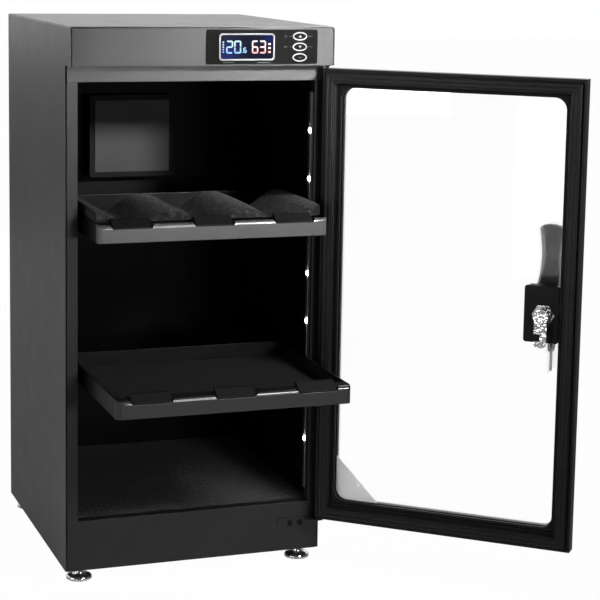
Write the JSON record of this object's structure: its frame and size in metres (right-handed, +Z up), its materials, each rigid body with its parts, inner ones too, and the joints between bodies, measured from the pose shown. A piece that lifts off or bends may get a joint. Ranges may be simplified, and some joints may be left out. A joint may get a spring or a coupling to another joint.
{
  "type": "camera dry cabinet",
  "caption": "Tall casing with a lockable hinged glass door, humidity controls in the header, pull-out trays and levelling feet, for dry storage.",
  "frame": {"origin": "centre of the four feet's contact plane on the floor", "axes": "+Z up, -Y out of the front, +X towards the door's hinge"},
  "size_m": [0.553, 0.5543, 0.653],
  "materials": {
    "casing_paint": "fine satin powder coat",
    "frame_paint": "satin powder coat",
    "chamber_paint": "matt powder coat",
    "mat_foam": "matt closed-cell foam",
    "black_plastic": "moulded, lightly grained",
    "grey_plastic": "moulded",
    "sink_alloy": "extruded",
    "silver_plastic": "silver painted",
    "display_clear": "clear window",
    "display_dark": "liquid crystal module",
    "ring_white": "white",
    "board_green": "circuit board",
    "button_dark": "moulded",
    "screw_steel": "zinc plated",
    "door_paint": "satin powder coat",
    "door_glass": "clear float glass",
    "gasket_rubber": "extruded magnetic gasket",
    "corner_grey": "satin",
    "lock_chrome": "bright plated",
    "key_black": "moulded bow",
    "tray_paint": "satin powder coat",
    "trim_grey": "satin moulded bar",
    "pad_rubber": "soft grip",
    "foot_chrome": "bright plated"
  },
  "bodies": {
    "cabinet": {"casing_wrap": "casing_paint", "header_panel": "casing_paint", "top_rail": "frame_paint", "stile_left": "frame_paint", "stile_right": "frame_paint", "kick_panel": "frame_paint", "back_panel": "casing_paint", "base_pan": "casing_paint", "chamber_floor": "chamber_paint", "floor_mat": "mat_foam", "ceiling_panel": "chamber_paint", "shelf_standards": "chamber_paint", "rails_upper": "chamber_paint", "rails_lower": "chamber_paint", "dryer_housing": "black_plastic", "dryer_face_plate": "grey_plastic", "dryer_heat_sink": "sink_alloy", "humidity_sensor": "grey_plastic", "control_fascia": "black_plastic", "display_bezel": "silver_plastic", "display_window": "display_clear", "display_module": "display_dark", "button_rings": "ring_white", "control_board": "board_green", "led_channel": "black_plastic", "led_strip": "ring_white", "led_lamps": "ring_white", "hinge_plates": "frame_paint", "dc_inlet": "black_plastic", "case_screws": "screw_steel"},
    "door": {"door_frame": "door_paint", "door_glass": "door_glass", "glass_retainer": "black_plastic", "door_gasket": "gasket_rubber", "corner_plate": "corner_grey", "lock_backing_plate": "black_plastic", "lock_body": "lock_chrome", "lock_nut": "lock_chrome", "handle_base": "black_plastic", "handle_grip": "black_plastic"},
    "lock": {"lock_cylinder": "lock_chrome", "lock_cam": "lock_chrome"},
    "key": {"key": "key_black"},
    "key_ring": {"key_ring": "lock_chrome"},
    "spare_key": {"spare_key": "key_black"},
    "upper_tray": {"tray_upper_pan": "tray_paint", "tray_upper_trim": "trim_grey", "tray_upper_pads": "pad_rubber", "lens_foam": "mat_foam"},
    "lower_tray": {"tray_lower_pan": "tray_paint", "tray_lower_trim": "trim_grey", "tray_lower_pads": "pad_rubber", "tray_lower_mat": "mat_foam"},
    "button_up": {"button_up": "button_dark"},
    "button_down": {"button_down": "button_dark"},
    "button_set": {"button_set": "button_dark"},
    "foot_front_left": {"foot_front_left": "foot_chrome"},
    "foot_front_right": {"foot_front_right": "foot_chrome"},
    "foot_rear_left": {"foot_rear_left": "foot_chrome"},
    "foot_rear_right": {"foot_rear_right": "foot_chrome"}
  },
  "joints": [
    {"name": "door_hinge", "type": "hinge", "parent": "cabinet", "child": "door", "pos_m": [0.1539, -0.177, 0.333], "axis": [0, 0, 1], "range_deg": [-138.6, 5.4]},
    {"name": "lock_turn", "type": "hinge", "parent": "door", "child": "lock", "pos_m": [0.36654, -0.34514, 0.333], "axis": [-0.6613, -0.7501, 0], "range_deg": [0, 90]},
    {"name": "key_pull", "type": "slide", "parent": "lock", "child": "key", "axis": [0.6613, 0.7501, 0], "range_m": [0, 0.025]},
    {"name": "key_ring_swing", "type": "hinge", "parent": "key", "child": "key_ring", "pos_m": [0.38407, -0.32526, 0.3313], "axis": [-0.7501, 0.6613, 0], "range_deg": [-20, 20]},
    {"name": "spare_key_swing", "type": "hinge", "parent": "key_ring", "child": "spare_key", "pos_m": [0.38407, -0.32526, 0.3053], "axis": [-0.7501, 0.6613, 0], "range_deg": [-20, 20]},
    {"name": "upper_tray_slide", "type": "slide", "parent": "cabinet", "child": "upper_tray", "axis": [0, -1, 0], "range_m": [-0.1507, 0.00606]},
    {"name": "lower_tray_slide", "type": "slide", "parent": "cabinet", "child": "lower_tray", "axis": [0, -1, 0], "range_m": [-0.2377, 0.00945]},
    {"name": "button_up_press", "type": "slide", "parent": "cabinet", "child": "button_up", "axis": [0, 1, 0], "range_m": [0, 0.0006], "stiffness_N_per_m": 800, "springref_m": -0.001},
    {"name": "button_down_press", "type": "slide", "parent": "cabinet", "child": "button_down", "axis": [0, 1, 0], "range_m": [0, 0.0006], "stiffness_N_per_m": 800, "springref_m": -0.001},
    {"name": "button_set_press", "type": "slide", "parent": "cabinet", "child": "button_set", "axis": [0, 1, 0], "range_m": [0, 0.0006], "stiffness_N_per_m": 800, "springref_m": -0.001},
    {"name": "foot_front_left_turn", "type": "hinge", "parent": "cabinet", "child": "foot_front_left", "pos_m": [-0.137, -0.146, 0.0075], "axis": [0, 0, 1], "range_deg": [-720, 720]},
    {"name": "foot_front_right_turn", "type": "hinge", "parent": "cabinet", "child": "foot_front_right", "pos_m": [0.137, -0.146, 0.0075], "axis": [0, 0, 1], "range_deg": [-720, 720]},
    {"name": "foot_rear_left_turn", "type": "hinge", "parent": "cabinet", "child": "foot_rear_left", "pos_m": [-0.137, 0.146, 0.0075], "axis": [0, 0, 1], "range_deg": [-720, 720]},
    {"name": "foot_rear_right_turn", "type": "hinge", "parent": "cabinet", "child": "foot_rear_right", "pos_m": [0.137, 0.146, 0.0075], "axis": [0, 0, 1], "range_deg": [-720, 720]}
  ],
  "couplings": [
    {"joint": "upper_tray_slide", "follows": "door_hinge", "m_per_rad": 0.062215},
    {"joint": "lower_tray_slide", "follows": "door_hinge", "m_per_rad": 0.09818}
  ]
}
